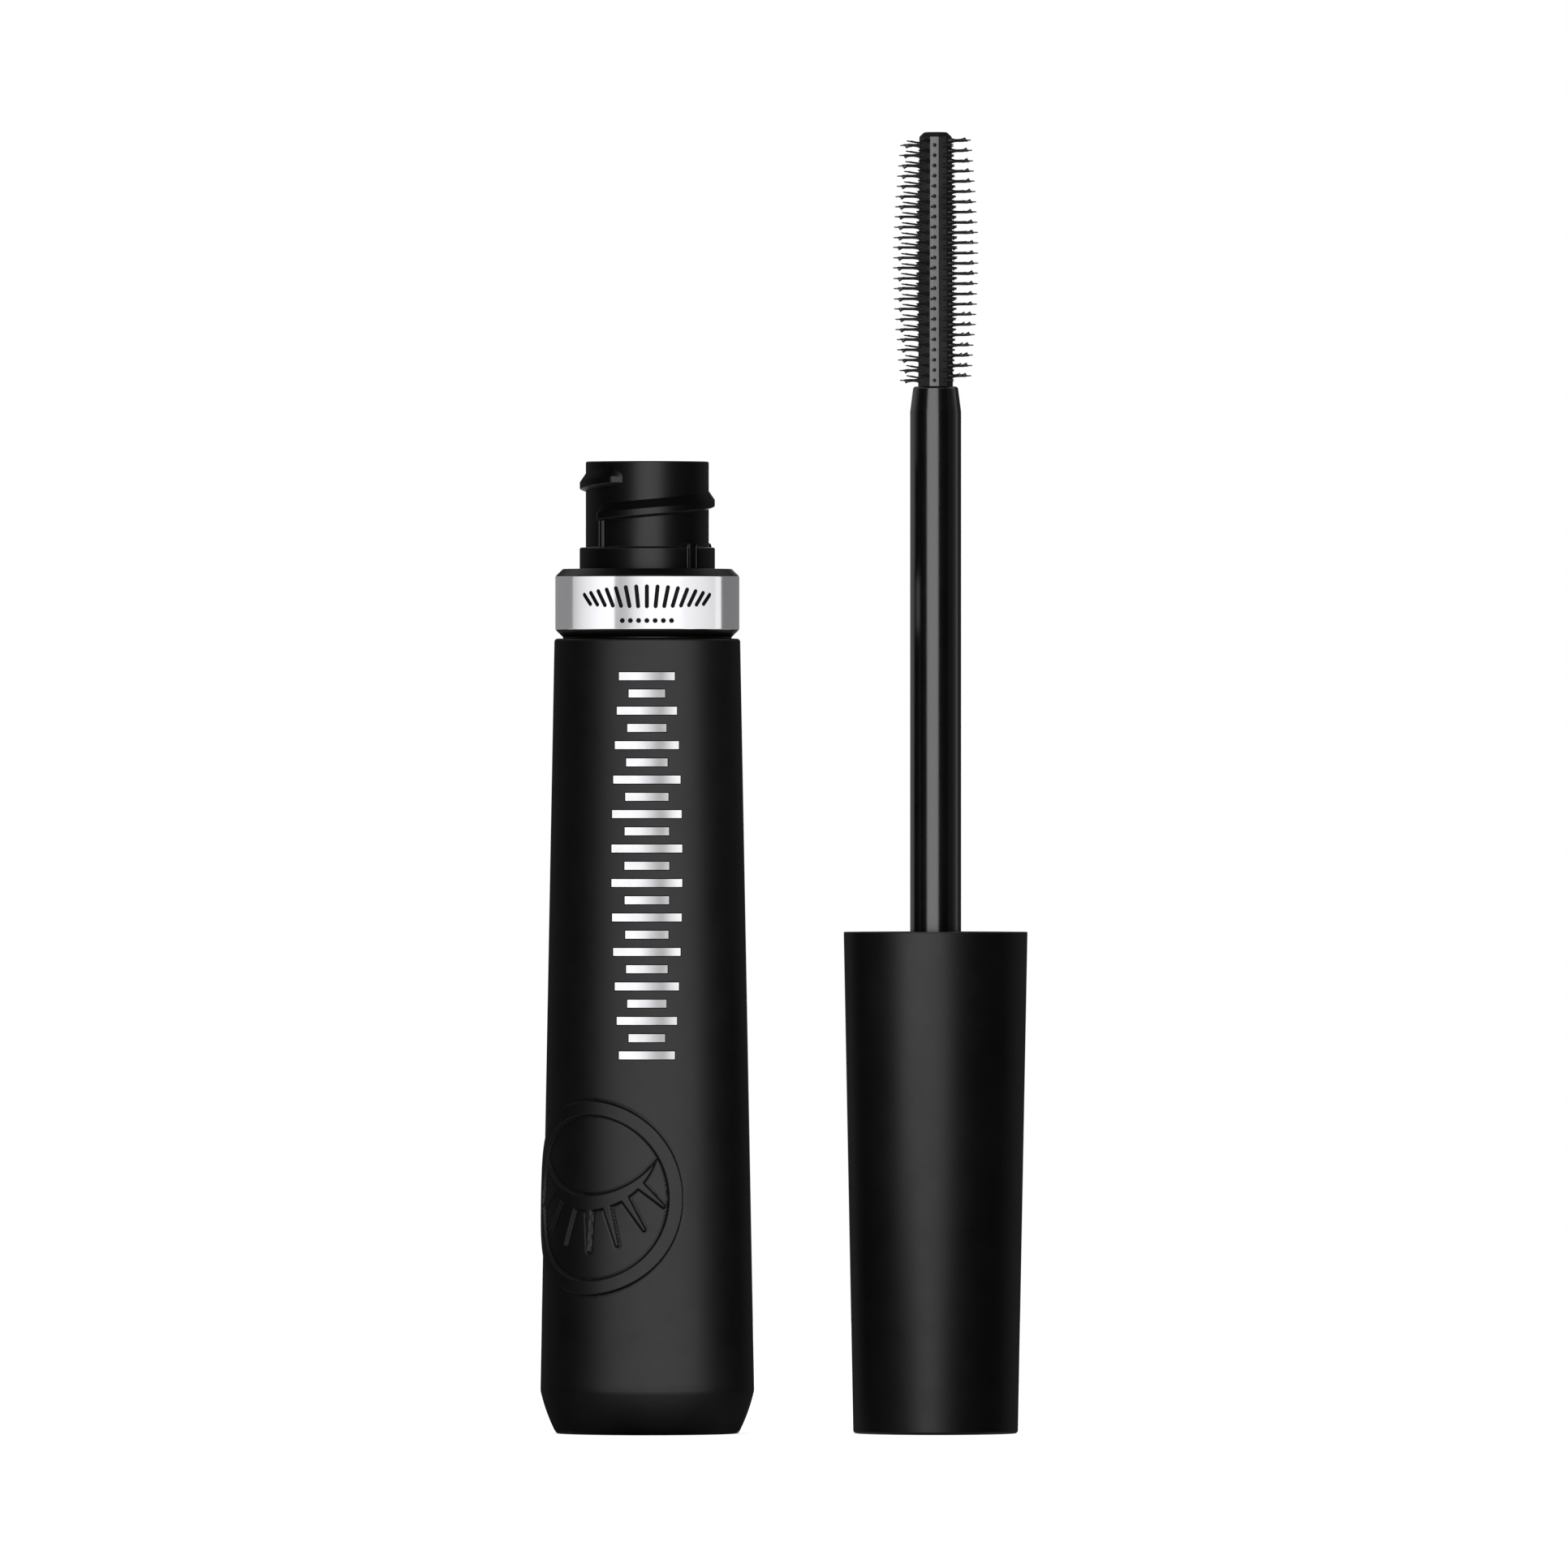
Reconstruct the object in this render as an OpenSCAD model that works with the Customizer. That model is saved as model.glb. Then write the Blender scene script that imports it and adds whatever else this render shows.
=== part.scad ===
// Mascara tube with its applicator taken out. The tube stands on its base at the origin.
// The applicator stands beside it, upside down on the closed end of its cap.

/* [Outer case] */
// Radius of the ring that the tube stands on
case_foot_r = 9.37; // [9.1:0.01:9.6]
// Largest radius, at the top of the curved foot
case_belly_r = 10.98; // [10.6:0.01:11.4]
// Height of the curved foot
case_foot_h = 4.42; // [3.5:0.01:5.5]
// Radius of the arc that shapes the foot
case_foot_arc_r = 17.3; // [12:0.1:40]
// Radius at the top of the long taper
case_top_r = 9.54; // [9.3:0.01:9.8]
// Height of the case
case_h = 81.6; // [75:0.1:90]
// Rounding of the top edge
case_edge_r = 0.33; // [0.1:0.01:0.5]
// Radius of the straight bore that holds the bottle
case_bore_r = 8.3; // [8.1:0.01:8.4]

/* [Medallion] */
// Radius of the raised disc, measured round the case
medal_r = 9.95; // [6:0.05:11]
// Height of its middle above the table
medal_z = 24.1; // [18:0.1:60]
// Its direction, turned from the front towards +X
medal_turn = -33.7; // [-180:0.1:180]
// How far the disc stands out of the case
medal_relief = 0.33; // [0.1:0.01:0.6]
// Width of the flat rim round the sunk field
medal_rim = 1.5; // [0.8:0.1:3]
// Radius of the closed lid's lower edge
medal_lid_r = 7.6; // [6:0.1:8]
// Thickness of the lid at its middle
medal_lid_t = 1.6; // [0.6:0.1:1.8]
// Number of raised lashes under the lid
medal_lashes = 7; // [3:1:9]

/* [Collar] */
// Radius over the metal band
collar_r = 9.45; // [9.3:0.01:9.54]
// Radius where the bevels end
collar_neck_r = 8.67; // [8.4:0.01:9]
// Height of each bevel
collar_bevel = 0.75; // [0.4:0.01:1]
// Height of the metal band
band_h = 5.5; // [4:0.1:7]
// Thickness of the metal band
band_t = 0.3; // [0.2:0.01:0.4]
// Depth of the skirt that plugs into the case
skirt_h = 5.6; // [3:0.1:8]

/* [Bottle] */
// Outer radius of the bottle body
bottle_r = 7.5; // [7.2:0.01:7.7]
// Wall of the bottle body
bottle_wall = 0.9; // [0.7:0.05:1.1]
// Outer radius of the plain neck
neck_r = 6.32; // [6.2:0.01:6.4]
// Bore of the neck
neck_bore_r = 5.2; // [5:0.01:5.3]
// Height of the neck above the collar
neck_h = 10.85; // [10:0.05:12]
// Radius of the step at the foot of the neck
step_r = 6.95; // [6.85:0.01:6.96]
// Height of that step above the collar
step_h = 2.2; // [1.5:0.05:2.5]

/* [Thread] */
// Rise of the thread in one turn
thread_pitch = 3.58; // [3:0.01:4]
// Radius over the thread
thread_r = 6.94; // [6.7:0.01:6.96]
// How far the thread runs round the neck
thread_turn = 385; // [300:1:400]
// Direction in which the thread starts, turned from the front towards +X
thread_from = -47; // [-90:1:90]
// Height of the thread's start above the collar
thread_rise = 5.4; // [5:0.05:5.8]

/* [Cap] */
// Distance from the tube's axis to the applicator's axis
applicator_x = 29.6; // [25:0.1:60]
// Length of the cap
cap_h = 51.5; // [48:0.1:55]
// Radius of the closed end
cap_end_r = 8.46; // [8.3:0.01:8.8]
// Radius of the open rim
cap_rim_r = 9.44; // [9.35:0.01:9.5]
// Wall of the cap
cap_wall = 1.15; // [1:0.01:1.2]
// Height of the floor of the threaded liner
liner_floor_z = 39; // [38.8:0.05:39.2]

/* [Stem] */
// Radius of the stem
stem_r = 2.625; // [2.4:0.005:2.65]
// Radius of the stem's end, where the brush is plugged in
stem_end_r = 2.29; // [2.1:0.01:2.35]
// Length of the stem that shows above the cap
stem_show = 56; // [45:0.1:60]
// Length of the tapered end
stem_taper = 2.6; // [1.5:0.1:5]

/* [Brush] */
// Radius across the flats of the brush core at the stem
core_r = 1.76; // [1.6:0.01:1.85]
// Radius across the flats of the brush core near its tip
core_tip_r = 1.64; // [1.4:0.01:1.7]
// Length of the brush
brush_h = 26.1; // [20:0.1:30]
// Number of rows of bristles
rows = 12; // [8:1:14]
// Number of bristles in a row
row_count = 24; // [12:1:24]
// Distance from one bristle to the next in a row
bristle_pitch = 1.05; // [1:0.01:1.08]
// Reach of the bristles at the middle of the brush
bristle_r = 4.43; // [3.9:0.01:4.6]
// Reach of the bristles at both ends of the brush
bristle_end_r = 3.7; // [3.2:0.01:4]
// Direction of the first row, turned from the front towards +X
row_turn = -4.4; // [-15:0.1:15]

/* [Hidden] */

fine = 96;
small = 32;

case_black = [0.09, 0.09, 0.095];
neck_black = [0.06, 0.06, 0.065];
band_silver = [0.82, 0.82, 0.84];

// heights of the collar, from the case upwards
collar_foot = 0.15;
band_z = case_h + collar_foot + collar_bevel;
band_top = band_z + band_h;
collar_top = band_top + collar_bevel;
neck_top = collar_top + neck_h;
seat_r = step_r - 0.05;
collar_bore_r = seat_r + 0.02;
skirt_bore_r = bottle_r + 0.05;
ledge_z = case_h + 0.4;

// the seat cut into the neck's mouth for the wiper's flange
mouth_r = neck_r - 0.37;
mouth_z = neck_top - 1;
neck_edge = 0.15;

// the base: label, plug and bottle floor
label_z = 0.15;
label_t = 0.1;
label_r = 7;
plug_z = label_z + label_t;
plug_floor = 1.75;
plug_h = 2.7;
bottle_z = plug_z + plug_floor;
bottle_floor = 1.2;
bottle_in_r = bottle_r - bottle_wall;
bottle_corner = 1;

// the slope of the case's long taper
case_slope = (case_top_r - case_belly_r) / (case_h - case_foot_h);
function case_r(z) = case_belly_r + case_slope * (z - case_foot_h);

// points on the arc that joins two points and bulges away from the axis
function arc_points(p, q, r, n = 12) =
    let (half = norm(q - p) / 2,
         mid = (p + q) / 2,
         dir = (q - p) / norm(q - p),
         centre = mid + [-dir.y, dir.x] * sqrt(r * r - half * half),
         a0 = atan2(p.y - centre.y, p.x - centre.x),
         a1 = atan2(q.y - centre.y, q.x - centre.x))
    [for (i = [0:n]) centre + r * [cos(a0 + (a1 - a0) * i / n), sin(a0 + (a1 - a0) * i / n)]];

// a quarter round at a corner, from angle a0 to a1 about its centre
function corner(c, r, a0, a1, n = 6) =
    [for (i = [0:n]) c + r * [cos(a0 + (a1 - a0) * i / n), sin(a0 + (a1 - a0) * i / n)]];

// the direction "turned from the front towards +X"
module facing(turn) { rotate(turn - 90) children(); }

// ---- outer case -------------------------------------------------------------------------

module case_blank(grow) {
    rotate_extrude($fn = fine)
        polygon(concat(
            [[0, 0]],
            arc_points([case_foot_r + grow, 0], [case_belly_r + grow, case_foot_h], case_foot_arc_r),
            corner([case_top_r + grow - case_edge_r, case_h - case_edge_r], case_edge_r, 0, 90),
            [[0, case_h]]));
}

// a flat shape drawn on the unrolled case, cut from points (round the case, up)
function wrapped(points) =
    [for (p = points) [case_r(medal_z) * sin(p.x / case_r(medal_z) * 180 / PI), p.y]];

function ring_points(r, n = 72) = [for (i = [0:n - 1]) r * [cos(i * 360 / n), sin(i * 360 / n)]];

// the closed lid: a crescent between two arcs, the upper one flatter
lid_y = 6.3;
lid_flat = 1.4;
function lid_points(n = 24) =
    let (upper_r = medal_lid_r + lid_flat,
         gap = lid_flat + medal_lid_t,
         h = (gap * gap + medal_lid_r * medal_lid_r - upper_r * upper_r) / (2 * gap),
         a = asin(h / medal_lid_r),
         b = asin((h - gap) / upper_r))
    concat(
        [for (i = [0:n]) let (t = -180 - a + (180 + 2 * a) * i / n)
            [medal_lid_r * cos(t), lid_y + medal_lid_r * sin(t)]],
        [for (i = [1:n - 1]) let (t = b - (180 + 2 * b) * i / n)
            [upper_r * cos(t), lid_y + gap + upper_r * sin(t)]]);

// one lash: a slim stroke that runs down and outwards from the lid
function lash_points(lean, len) =
    let (root = medal_lid_r - 0.3, tip = medal_lid_r + len, w = 0.42, tip_w = 0.14)
    [for (p = [[-w, root], [-tip_w, tip], [tip_w, tip], [w, root]])
        [p.x * cos(lean) + p.y * sin(lean), lid_y + p.x * sin(lean) - p.y * cos(lean)]];

module stand_out(points) {
    facing(medal_turn)
        translate([0, 0, medal_z])
            rotate([90, 0, 90])
                linear_extrude(case_belly_r + 2)
                    polygon(wrapped(points));
}

module medallion() {
    fan = 48;
    longest = 4.1;
    intersection() {
        case_blank(medal_relief);
        union() {
            difference() {
                stand_out(ring_points(medal_r));
                stand_out(ring_points(medal_r - medal_rim));
            }
            stand_out(lid_points());
            for (i = [0:medal_lashes - 1]) {
                t = 2 * i / (medal_lashes - 1) - 1;
                stand_out(lash_points(fan * t, longest - t * t));
            }
        }
    }
}

module outer_case() {
    color(case_black)
        difference() {
            union() {
                case_blank(0);
                medallion();
            }
            translate([0, 0, -1]) cylinder(h = case_h + 2, r = case_bore_r, $fn = fine);
        }
}

// ---- base -------------------------------------------------------------------------------

module base_plug() {
    color(case_black)
        difference() {
            translate([0, 0, plug_z]) cylinder(h = plug_h, r = case_bore_r, $fn = fine);
            translate([0, 0, bottle_z]) cylinder(h = plug_h, r = skirt_bore_r, $fn = fine);
        }
}

module shade_label() {
    color("silver") translate([0, 0, label_z]) cylinder(h = label_t, r = label_r, $fn = fine);
}

// ---- bottle -----------------------------------------------------------------------------

// a ridge wound round the z axis; its profile's points are (out from the axis, up) and run
// anticlockwise
module helical_ridge(profile, pitch, turn, n = 96) {
    m = len(profile);
    points = [for (i = [0:n], p = profile)
        let (a = turn * i / n) [p.x * cos(a), p.x * sin(a), p.y + pitch * a / 360]];
    sides = [for (i = [0:n - 1], j = [0:m - 1])
        let (k = (j + 1) % m) each [[i * m + j, i * m + k, (i + 1) * m + k],
                                    [i * m + j, (i + 1) * m + k, (i + 1) * m + j]]];
    first = [for (j = [m - 1:-1:0]) j];
    last = [for (j = [0:m - 1]) n * m + j];
    polyhedron(points, concat([first, last], sides), convexity = 8);
}

// long upper flank, narrow crest and short lower flank, all rooted inside the neck
thread_root_r = neck_r - 0.4;
neck_thread = [[thread_root_r, -0.74], [thread_r, -0.33], [thread_r, 0.33], [thread_root_r, 1.84]];
rib_w = 0.45;
rib_out = 0.6;

lug_turns = [42, 114];
lug_w = 1.1;
lug_h = 2.7;
lug_out = 0.95;
slot_w = 0.3;

module neck_features() {
    translate([0, 0, collar_top + thread_rise])
        facing(thread_from)
            helical_ridge(neck_thread, thread_pitch, thread_turn);
    // rib from the step up to the start of the thread
    facing(thread_from)
        translate([thread_root_r, -rib_w / 2, collar_top + step_h - 0.2])
            cube([rib_out, rib_w, thread_rise - step_h]);
    // two ratchet lugs that rise from the step and click against the cap
    for (turn = lug_turns)
        facing(turn)
            translate([thread_root_r, -lug_w / 2, collar_top + 1])
                cube([lug_out, lug_w, lug_h - 1]);
}

// the slots that set each lug off from the step
module lug_slots() {
    for (turn = lug_turns, side = [-1, 1])
        facing(turn)
            translate([step_r - slot_w, side * (lug_w + slot_w) / 2 - slot_w / 2, collar_top])
                cube([1, slot_w, step_h + 1]);
}

module bottle() {
    shoulder_z = ledge_z - 1.4;
    inner_top = shoulder_z - 0.6;
    color(neck_black)
        difference() {
            union() {
                rotate_extrude($fn = fine)
                    polygon(concat(
                        [[0, bottle_z]],
                        corner([bottle_r - bottle_corner, bottle_z + bottle_corner], bottle_corner, -90, 0),
                        [[bottle_r, shoulder_z], [seat_r, ledge_z - 0.2], [seat_r, collar_top],
                         [step_r, collar_top], [step_r, collar_top + step_h],
                         [neck_r, collar_top + step_h]],
                        corner([neck_r - neck_edge, neck_top - neck_edge], neck_edge, 0, 90, 3),
                        [[0, neck_top]]));
                neck_features();
            }
            rotate_extrude($fn = fine)
                polygon([[0, bottle_z + bottle_floor], [bottle_in_r, bottle_z + bottle_floor],
                         [bottle_in_r, inner_top], [neck_bore_r, ledge_z + 1.2],
                         [neck_bore_r, mouth_z], [mouth_r, mouth_z],
                         [mouth_r, neck_top + 1], [0, neck_top + 1]]);
            lug_slots();
        }
}

// soft insert that strips the stem as it is pulled out
module wiper() {
    flange_r = mouth_r - 0.05;
    flange_z = mouth_z;
    lip_r = stem_r - 0.1;
    color([0.16, 0.16, 0.17])
        rotate_extrude($fn = fine)
            polygon([[flange_r, flange_z], [flange_r, flange_z + 0.8], [5, flange_z + 0.8],
                     [4.4, flange_z - 0.6], [4.4, flange_z - 6], [lip_r, flange_z - 10],
                     [lip_r, flange_z - 10.8], [lip_r + 0.5, flange_z - 10.8],
                     [neck_bore_r, flange_z - 6.8], [neck_bore_r, flange_z]]);
}

// the paste, with the hollow that the brush leaves
module formula() {
    floor_z = bottle_z + bottle_floor;
    color([0.03, 0.03, 0.03])
        rotate_extrude($fn = fine)
            polygon([[0, floor_z], [bottle_in_r, floor_z], [bottle_in_r, 74], [5.6, 73],
                     [4.8, 70], [4.6, 8], [3.6, 6.6], [0, 6.2]]);
}

// ---- collar -----------------------------------------------------------------------------

module collar_carrier() {
    seat_r = collar_r - band_t;
    color(neck_black)
        rotate_extrude($fn = fine)
            polygon([[skirt_bore_r, case_h - skirt_h], [case_bore_r, case_h - skirt_h],
                     [case_bore_r, case_h], [collar_neck_r, case_h],
                     [collar_neck_r, case_h + collar_foot], [collar_r, band_z],
                     [seat_r, band_z], [seat_r, band_top], [collar_bore_r, band_top],
                     [collar_bore_r, ledge_z], [skirt_bore_r, ledge_z - 1]]);
}

module collar_band() {
    edge = 0.08;
    color(band_silver)
        rotate_extrude($fn = fine)
            polygon([[collar_r - band_t, band_z], [collar_r - edge, band_z],
                     [collar_r, band_z + edge], [collar_r, band_top - edge],
                     [collar_r - edge, band_top], [collar_r - band_t, band_top]]);
}

module collar_top_ring() {
    color(neck_black)
        rotate_extrude($fn = fine)
            polygon([[collar_bore_r, band_top], [collar_r, band_top],
                     [collar_neck_r, collar_top], [collar_bore_r, collar_top]]);
}

// ---- applicator -------------------------------------------------------------------------

cap_slope = (cap_rim_r - cap_end_r) / cap_h;
function cap_r(z) = cap_end_r + cap_slope * z;
cap_floor = 1.5;
liner_r = 7.9;
liner_bore_r = 7.05;
liner_rim_z = cap_h - 0.3;
ratchet_z = cap_h - 2.9;
root_z = liner_floor_z - 1.6;
stem_top = cap_h + stem_show;
// the socket in the stem's end, and the brush's peg in it
socket_r = 1.2;
socket_h = 8;
peg_h = 7.8;

module beside_tube() { translate([applicator_x, 0, 0]) children(); }

module cap_shell() {
    edge = 0.3;
    color(case_black)
        beside_tube()
            rotate_extrude($fn = fine)
                polygon(concat(
                    [[0, 0]],
                    corner([cap_r(edge) - edge, edge], edge, -90, 0),
                    [[cap_rim_r, cap_h], [cap_rim_r - cap_wall, cap_h],
                     [cap_r(cap_floor) - cap_wall, cap_floor], [0, cap_floor]]));
}

// the ridge inside the liner that runs under the neck's thread
liner_thread = [[liner_bore_r + 0.3, -0.8], [liner_bore_r + 0.3, 0.8], [6.45, 0.25], [6.45, -0.25]];

module cap_liner() {
    flange_t = 0.9;
    flange_r = cap_r(liner_rim_z - flange_t) - cap_wall;
    bead_z = liner_floor_z + 1.75;
    color(neck_black)
        beside_tube() {
            rotate_extrude($fn = fine)
                polygon([[stem_r, root_z], [liner_r, root_z], [liner_r, liner_rim_z - flange_t],
                         [flange_r, liner_rim_z - flange_t], [flange_r, liner_rim_z],
                         [liner_bore_r + 0.3, liner_rim_z], [liner_bore_r + 0.3, ratchet_z],
                         [liner_bore_r, ratchet_z], [liner_bore_r, bead_z + 0.25],
                         [liner_bore_r - 0.35, bead_z], [liner_bore_r, bead_z - 0.1],
                         [liner_bore_r, liner_floor_z], [stem_r, liner_floor_z]]);
            translate([0, 0, liner_floor_z + 5.45])
                helical_ridge(liner_thread, thread_pitch, 330);
        }
}

module cap_seal() {
    gap = 0.05;
    seal_t = 1.5;
    seal_r = 6.9;
    color([0.78, 0.78, 0.76])
        beside_tube()
            translate([0, 0, liner_floor_z + gap])
                difference() {
                    cylinder(h = seal_t, r = seal_r, $fn = fine);
                    translate([0, 0, -1]) cylinder(h = seal_t + 2, r = stem_r + 0.08, $fn = fine);
                }
}

module stem() {
    shoulder = 0.3;
    flange_r = 4.2;
    flange_t = 1.5;
    color(neck_black)
        beside_tube()
            rotate_extrude($fn = fine)
                polygon(concat(
                    [[0, root_z - flange_t], [flange_r, root_z - flange_t], [flange_r, root_z],
                     [stem_r, root_z],
                     [stem_r, stem_top - stem_taper]],
                    corner([stem_end_r - shoulder, stem_top - shoulder], shoulder, 10, 90),
                    [[socket_r, stem_top], [socket_r, stem_top - socket_h],
                     [0, stem_top - socket_h]]));
}

// how far a bristle reaches, longest in the middle of the brush
function reach(t) = bristle_end_r + (bristle_r - bristle_end_r) * sin(180 * t);
// rows that sit half a step higher than their neighbours
raised_rows = [2, 3, 4, 7, 8, 11];
function is_raised(k) = len(search(k, raised_rows)) > 0;

module core() {
    flat = 1 / cos(180 / rows);
    tip = 0.5;
    facing(row_turn) rotate(180 / rows) {
        cylinder(h = brush_h - tip, r1 = core_r * flat, r2 = core_tip_r * flat, $fn = rows);
        translate([0, 0, brush_h - tip])
            cylinder(h = tip, r1 = core_tip_r * flat, r2 = 1.15 * flat, $fn = rows);
    }
    translate([0, 0, -peg_h]) cylinder(h = peg_h + 0.2, r = socket_r, $fn = small);
}

module bristles() {
    first_z = 0.6;
    raise = 0.45;
    root_r = 0.17;
    tip_r = 0.06;
    inside = 1.3;
    for (k = [0:rows - 1], i = [0:row_count - 1]) {
        z = first_z + bristle_pitch * (i + (is_raised(k) ? raise : 0));
        out = reach(i / (row_count - 1));
        facing(row_turn + k * 360 / rows)
            translate([inside, 0, z])
                rotate([0, 90, 0])
                    cylinder(h = out - inside, r1 = root_r, r2 = tip_r, $fn = small);
    }
}

module brush() {
    color([0.05, 0.05, 0.055])
        beside_tube()
            translate([0, 0, stem_top]) {
                core();
                bristles();
            }
}

outer_case();
base_plug();
shade_label();
bottle();
wiper();
formula();
collar_carrier();
collar_band();
collar_top_ring();
cap_shell();
cap_liner();
cap_seal();
stem();
brush();
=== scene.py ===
"""Looks of an open mascara tube and its applicator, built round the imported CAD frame.

Lengths are in millimetres. Directions round an axis are counted from the front towards +X.
"""
import math
import random

import bmesh
import bpy
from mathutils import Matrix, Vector


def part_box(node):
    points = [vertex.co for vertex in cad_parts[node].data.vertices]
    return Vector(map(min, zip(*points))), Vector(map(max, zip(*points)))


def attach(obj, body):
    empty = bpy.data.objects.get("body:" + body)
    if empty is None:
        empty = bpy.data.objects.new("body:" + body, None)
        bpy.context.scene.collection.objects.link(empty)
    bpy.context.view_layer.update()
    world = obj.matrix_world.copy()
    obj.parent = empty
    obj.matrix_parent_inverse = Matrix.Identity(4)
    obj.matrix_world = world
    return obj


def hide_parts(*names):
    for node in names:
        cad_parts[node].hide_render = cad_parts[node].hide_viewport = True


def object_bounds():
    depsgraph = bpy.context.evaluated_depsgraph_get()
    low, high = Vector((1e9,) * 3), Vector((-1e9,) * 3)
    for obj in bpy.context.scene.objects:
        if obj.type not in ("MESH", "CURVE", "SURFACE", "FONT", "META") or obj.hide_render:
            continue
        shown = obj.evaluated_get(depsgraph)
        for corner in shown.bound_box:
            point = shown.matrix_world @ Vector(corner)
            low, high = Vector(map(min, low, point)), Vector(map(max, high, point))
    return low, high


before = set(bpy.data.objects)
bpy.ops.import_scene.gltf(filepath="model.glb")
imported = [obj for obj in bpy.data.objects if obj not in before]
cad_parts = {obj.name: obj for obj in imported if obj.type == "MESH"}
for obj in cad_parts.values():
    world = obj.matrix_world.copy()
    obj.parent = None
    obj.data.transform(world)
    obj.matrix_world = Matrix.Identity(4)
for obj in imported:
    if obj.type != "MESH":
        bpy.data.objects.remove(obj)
cad_low, cad_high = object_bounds()

MM = 0.001
TAU = 2 * math.pi
rng = random.Random(7)


# ---- sizes read from the frame -----------------------------------------------------------

def extent(node):
    """Lowest and highest corner of a CAD node, in millimetres."""
    low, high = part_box(node)
    return [v / MM for v in low], [v / MM for v in high]


_, case_high = extent("outer_case")
_, plug_high = extent("base_plug")
band_low, band_high = extent("collar_band")
_, ring_high = extent("collar_top_ring")
carrier_low, _ = extent("collar_carrier")
bottle_low, bottle_high = extent("bottle")
wiper_low, wiper_high = extent("wiper")
shell_low, shell_high = extent("cap_shell")
liner_low, liner_high = extent("cap_liner")
seal_low, seal_high = extent("cap_seal")
stem_low, stem_high = extent("stem")
_, brush_high = extent("brush")

CASE_H = case_high[2]
BELLY_R = case_high[0]
PLUG_R = plug_high[0]
BAND_R = band_high[0]
BAND_Z = band_low[2]
BAND_TOP = band_high[2]
COLLAR_TOP = ring_high[2]
SKIRT_Z = carrier_low[2]
BOTTLE_R = bottle_high[0]
BOTTLE_Z = bottle_low[2]
NECK_TOP = bottle_high[2]
WIPER_R = wiper_high[0]
WIPER_Z = wiper_low[2]
WIPER_TOP = wiper_high[2]
CAP_X = (shell_low[0] + shell_high[0]) / 2
CAP_RIM_R = (shell_high[0] - shell_low[0]) / 2
CAP_H = shell_high[2]
LINER_Z = liner_low[2]
LINER_TOP = liner_high[2]
LINER_FLANGE_R = (liner_high[0] - liner_low[0]) / 2
SEAL_Z = seal_low[2]
SEAL_TOP = seal_high[2]
SEAL_R = (seal_high[0] - seal_low[0]) / 2
STEM_Z = stem_low[2]
STEM_TOP = stem_high[2]
STEM_ROOT_R = (stem_high[0] - stem_low[0]) / 2
BRUSH_TOP = brush_high[2]


# ---- mesh helpers ------------------------------------------------------------------------

SHARP = 35              # edges over this angle, in degrees, are shaded sharp
FILLET_SHARE = 0.45     # the most of a side that one fillet takes
FILLET_STEP = 15        # degrees of arc in one step of a fillet
FILLET_HOLD = 1.08      # place of the hold points beside a fillet, as a share of its reach
HELIX_STEP = 1.25       # degrees of turn in one step of a helix
ON_AXIS = 1e-6


def finish_mesh(name, points, faces, sharp=SHARP):
    """A smooth-shaded object from points in millimetres."""
    mesh = bpy.data.meshes.new(name)
    mesh.from_pydata([(x * MM, y * MM, z * MM) for x, y, z in points], [], faces)
    bm = bmesh.new()
    bm.from_mesh(mesh)
    bmesh.ops.recalc_face_normals(bm, faces=bm.faces)
    bm.to_mesh(mesh)
    bm.free()
    mesh.shade_smooth()
    mesh.set_sharp_from_angle(angle=math.radians(sharp))
    piece = bpy.data.objects.new(name, mesh)
    bpy.context.scene.collection.objects.link(piece)
    return piece


def rounded(corners):
    """An outline of corners (radius, height, fillet).

    A hold point each side of a fillet keeps its smooth shading off the flats."""
    outline = []
    for i, (r, z, fillet) in enumerate(corners):
        here = Vector((r, z))
        if fillet <= 0:
            outline.append(here)
            continue
        before = Vector(corners[i - 1][:2]) - here
        after = Vector(corners[(i + 1) % len(corners)][:2]) - here
        a, b = before.normalized(), after.normalized()
        half = a.angle(b) / 2
        reach = min(fillet / math.tan(half), FILLET_SHARE * before.length,
                    FILLET_SHARE * after.length)
        radius = reach * math.tan(half)
        centre = here + (a + b).normalized() * (radius / math.sin(half))
        u, v = here + a * reach - centre, here + b * reach - centre
        sweep = u.angle(v)
        steps = max(2, round(math.degrees(sweep) / FILLET_STEP))
        outline.append(here + a * reach * FILLET_HOLD)
        for k in range(steps + 1):
            t = k / steps
            arm = u * math.sin((1 - t) * sweep) + v * math.sin(t * sweep)
            outline.append(centre + arm / math.sin(sweep))
        outline.append(here + b * reach * FILLET_HOLD)
    return outline


def even_angles(count):
    """Directions spread evenly round an axis."""
    return [TAU * k / count for k in range(count)]


def at(turn, r, z, axis_x=0.0):
    """The point in that direction from an axis, at that radius and height."""
    return (axis_x + r * math.sin(turn), -r * math.cos(turn), z)


def skin(rings, loop=False, caps=False):
    """Points and faces of rings joined one to the next. A ring of one point is a pole."""
    points, starts = [], []
    for ring in rings:
        starts.append(len(points))
        points.extend(ring)
    faces = []
    pairs = [(i, i + 1) for i in range(len(rings) - 1)]
    if loop:
        pairs.append((len(rings) - 1, 0))
    for i, j in pairs:
        m, n = len(rings[i]), len(rings[j])
        for k in range(max(m, n)):
            q = (k + 1) % max(m, n)
            if m == 1:
                faces.append((starts[i], starts[j] + q, starts[j] + k))
            elif n == 1:
                faces.append((starts[i] + k, starts[i] + q, starts[j]))
            else:
                faces.append((starts[i] + k, starts[i] + q, starts[j] + q, starts[j] + k))
    if caps:
        faces.append(tuple(range(starts[0], starts[0] + len(rings[0]))))
        faces.append(tuple(range(starts[-1], starts[-1] + len(rings[-1]))))
    return points, faces


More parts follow.
